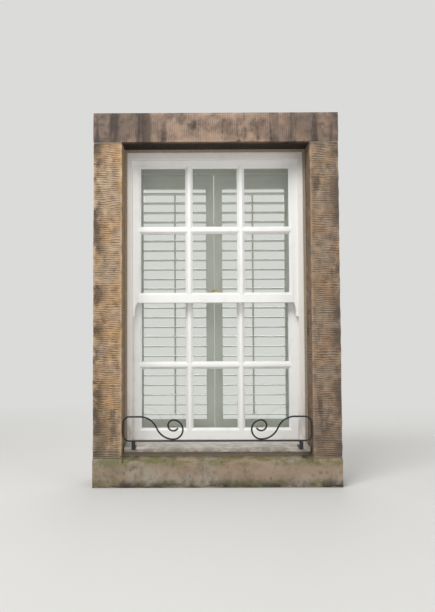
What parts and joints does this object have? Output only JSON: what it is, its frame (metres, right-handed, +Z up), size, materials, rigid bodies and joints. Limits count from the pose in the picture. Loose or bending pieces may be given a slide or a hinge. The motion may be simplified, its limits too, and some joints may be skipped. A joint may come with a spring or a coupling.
{
  "type": "sash window",
  "caption": "Box-framed sliding sash window in a dressed stone surround, with small panes, counterweights, a scrolled iron rail over the sill and louvred inner shutters.",
  "frame": {"origin": "on the bed of the stone sill, at mid width, in the plane where the outer linings' faces meet the stone reveal", "axes": "+Z up, +X to the right seen from outside, +Y into the room"},
  "size_m": [1.31, 0.396, 1.9847],
  "materials": {
    "stone": "matte",
    "mortar": "matte",
    "mastic": "matte",
    "case_paint": "gloss",
    "bare_timber": "matte",
    "sash_paint": "gloss",
    "glass": "gloss",
    "brass": "polished",
    "pulley_metal": "satin",
    "weight_iron": "matte",
    "cord": "matte",
    "shutter_paint": "satin",
    "hinge_steel": "satin",
    "rail_paint": "gloss"
  },
  "bodies": {
    "case": {"stone_sill": "stone", "stone_jamb_left": "stone", "stone_jamb_right": "stone", "stone_lintel": "stone", "mortar_joints": "mortar", "mastic_fillet": "mastic", "timber_sill": "case_paint", "outer_lining_left": "case_paint", "outer_lining_right": "case_paint", "outer_lining_head": "case_paint", "pulley_stile_left": "case_paint", "pulley_stile_right": "case_paint", "head_board": "case_paint", "inner_linings": "case_paint", "parting_beads": "case_paint", "staff_beads": "case_paint", "pocket_pieces": "case_paint", "back_linings": "bare_timber", "weight_dividers": "bare_timber", "pulley_housings": "brass", "pulley_pins": "pulley_metal", "cords_upper_sash_side": "cord", "cords_upper_weight_side": "cord", "cords_lower_sash_side": "cord", "cords_lower_weight_side": "cord", "cord_bends": "cord", "shutter_frame": "shutter_paint", "shutter_hinges": "hinge_steel", "window_rail": "rail_paint"},
    "upper_sash": {"upper_stile_left": "sash_paint", "upper_stile_right": "sash_paint", "upper_top_rail": "sash_paint", "upper_meeting_rail": "sash_paint", "upper_vertical_bars": "sash_paint", "upper_cross_bars": "sash_paint", "upper_panes": "glass", "fastener_keeper": "brass"},
    "lower_sash": {"lower_stile_left": "sash_paint", "lower_stile_right": "sash_paint", "lower_meeting_rail": "sash_paint", "lower_bottom_rail": "sash_paint", "lower_vertical_bars": "sash_paint", "lower_cross_bars": "sash_paint", "lower_panes": "glass", "fastener_base": "brass", "sash_lifts": "brass"},
    "fastener": {"fastener_lever": "brass"},
    "shutter_left": {"shutter_panel_left": "shutter_paint", "shutter_louvres_left": "shutter_paint"},
    "shutter_right": {"shutter_panel_right": "shutter_paint", "shutter_louvres_right": "shutter_paint"},
    "weight_upper_left": {"weight_upper_left": "weight_iron"},
    "pulley_wheel_upper_left": {"pulley_wheel_upper_left": "pulley_metal"},
    "weight_upper_right": {"weight_upper_right": "weight_iron"},
    "pulley_wheel_upper_right": {"pulley_wheel_upper_right": "pulley_metal"},
    "weight_lower_left": {"weight_lower_left": "weight_iron"},
    "pulley_wheel_lower_left": {"pulley_wheel_lower_left": "pulley_metal"},
    "weight_lower_right": {"weight_lower_right": "weight_iron"},
    "pulley_wheel_lower_right": {"pulley_wheel_lower_right": "pulley_metal"}
  },
  "joints": [
    {"name": "upper_sash_slide", "type": "slide", "parent": "case", "child": "upper_sash", "axis": [0, 0, -1], "range_m": [0, 0.68184], "deforming": ["cords_upper_sash_side"]},
    {"name": "lower_sash_slide", "type": "slide", "parent": "case", "child": "lower_sash", "axis": [0, 0, 1], "range_m": [0, 0.7377], "deforming": ["cords_lower_sash_side"]},
    {"name": "fastener_turn", "type": "hinge", "parent": "lower_sash", "child": "fastener", "pos_m": [0, 0.1005, 1.03935], "axis": [0, 0, 1], "range_deg": [-90, 0]},
    {"name": "shutter_left_hinge", "type": "hinge", "parent": "case", "child": "shutter_left", "pos_m": [-0.4555, 0.2145, 1], "axis": [0, 0, 1], "range_deg": [0, 115]},
    {"name": "shutter_right_hinge", "type": "hinge", "parent": "case", "child": "shutter_right", "pos_m": [0.4555, 0.2145, 1], "axis": [0, 0, -1], "range_deg": [0, 115]},
    {"name": "weight_upper_left_slide", "type": "slide", "parent": "case", "child": "weight_upper_left", "axis": [0, 0, 1], "range_m": [0, 0.68184]},
    {"name": "pulley_wheel_upper_left_spin", "type": "hinge", "parent": "case", "child": "pulley_wheel_upper_left", "pos_m": [-0.491, 0.0435, 1.69865], "axis": [0, 1, 0], "continuous": true},
    {"name": "weight_upper_right_slide", "type": "slide", "parent": "case", "child": "weight_upper_right", "axis": [0, 0, 1], "range_m": [0, 0.68184], "deforming": ["cords_upper_weight_side"]},
    {"name": "pulley_wheel_upper_right_spin", "type": "hinge", "parent": "case", "child": "pulley_wheel_upper_right", "pos_m": [0.491, 0.0435, 1.69865], "axis": [0, 1, 0], "continuous": true},
    {"name": "weight_lower_left_slide", "type": "slide", "parent": "case", "child": "weight_lower_left", "axis": [0, 0, -1], "range_m": [0, 0.7377]},
    {"name": "pulley_wheel_lower_left_spin", "type": "hinge", "parent": "case", "child": "pulley_wheel_lower_left", "pos_m": [-0.491, 0.1005, 1.69865], "axis": [0, 1, 0], "continuous": true},
    {"name": "weight_lower_right_slide", "type": "slide", "parent": "case", "child": "weight_lower_right", "axis": [0, 0, -1], "range_m": [0, 0.7377], "deforming": ["cords_lower_weight_side"]},
    {"name": "pulley_wheel_lower_right_spin", "type": "hinge", "parent": "case", "child": "pulley_wheel_lower_right", "pos_m": [0.491, 0.1005, 1.69865], "axis": [0, 1, 0], "continuous": true}
  ],
  "couplings": [
    {"joint": "weight_upper_left_slide", "follows": "upper_sash_slide", "ratio": 1},
    {"joint": "pulley_wheel_upper_left_spin", "follows": "upper_sash_slide", "rad_per_m": 38.462},
    {"joint": "weight_upper_right_slide", "follows": "upper_sash_slide", "ratio": 1},
    {"joint": "pulley_wheel_upper_right_spin", "follows": "upper_sash_slide", "rad_per_m": -38.462},
    {"joint": "weight_lower_left_slide", "follows": "lower_sash_slide", "ratio": 1},
    {"joint": "pulley_wheel_lower_left_spin", "follows": "lower_sash_slide", "rad_per_m": -38.462},
    {"joint": "weight_lower_right_slide", "follows": "lower_sash_slide", "ratio": 1},
    {"joint": "pulley_wheel_lower_right_spin", "follows": "lower_sash_slide", "rad_per_m": 38.462}
  ]
}
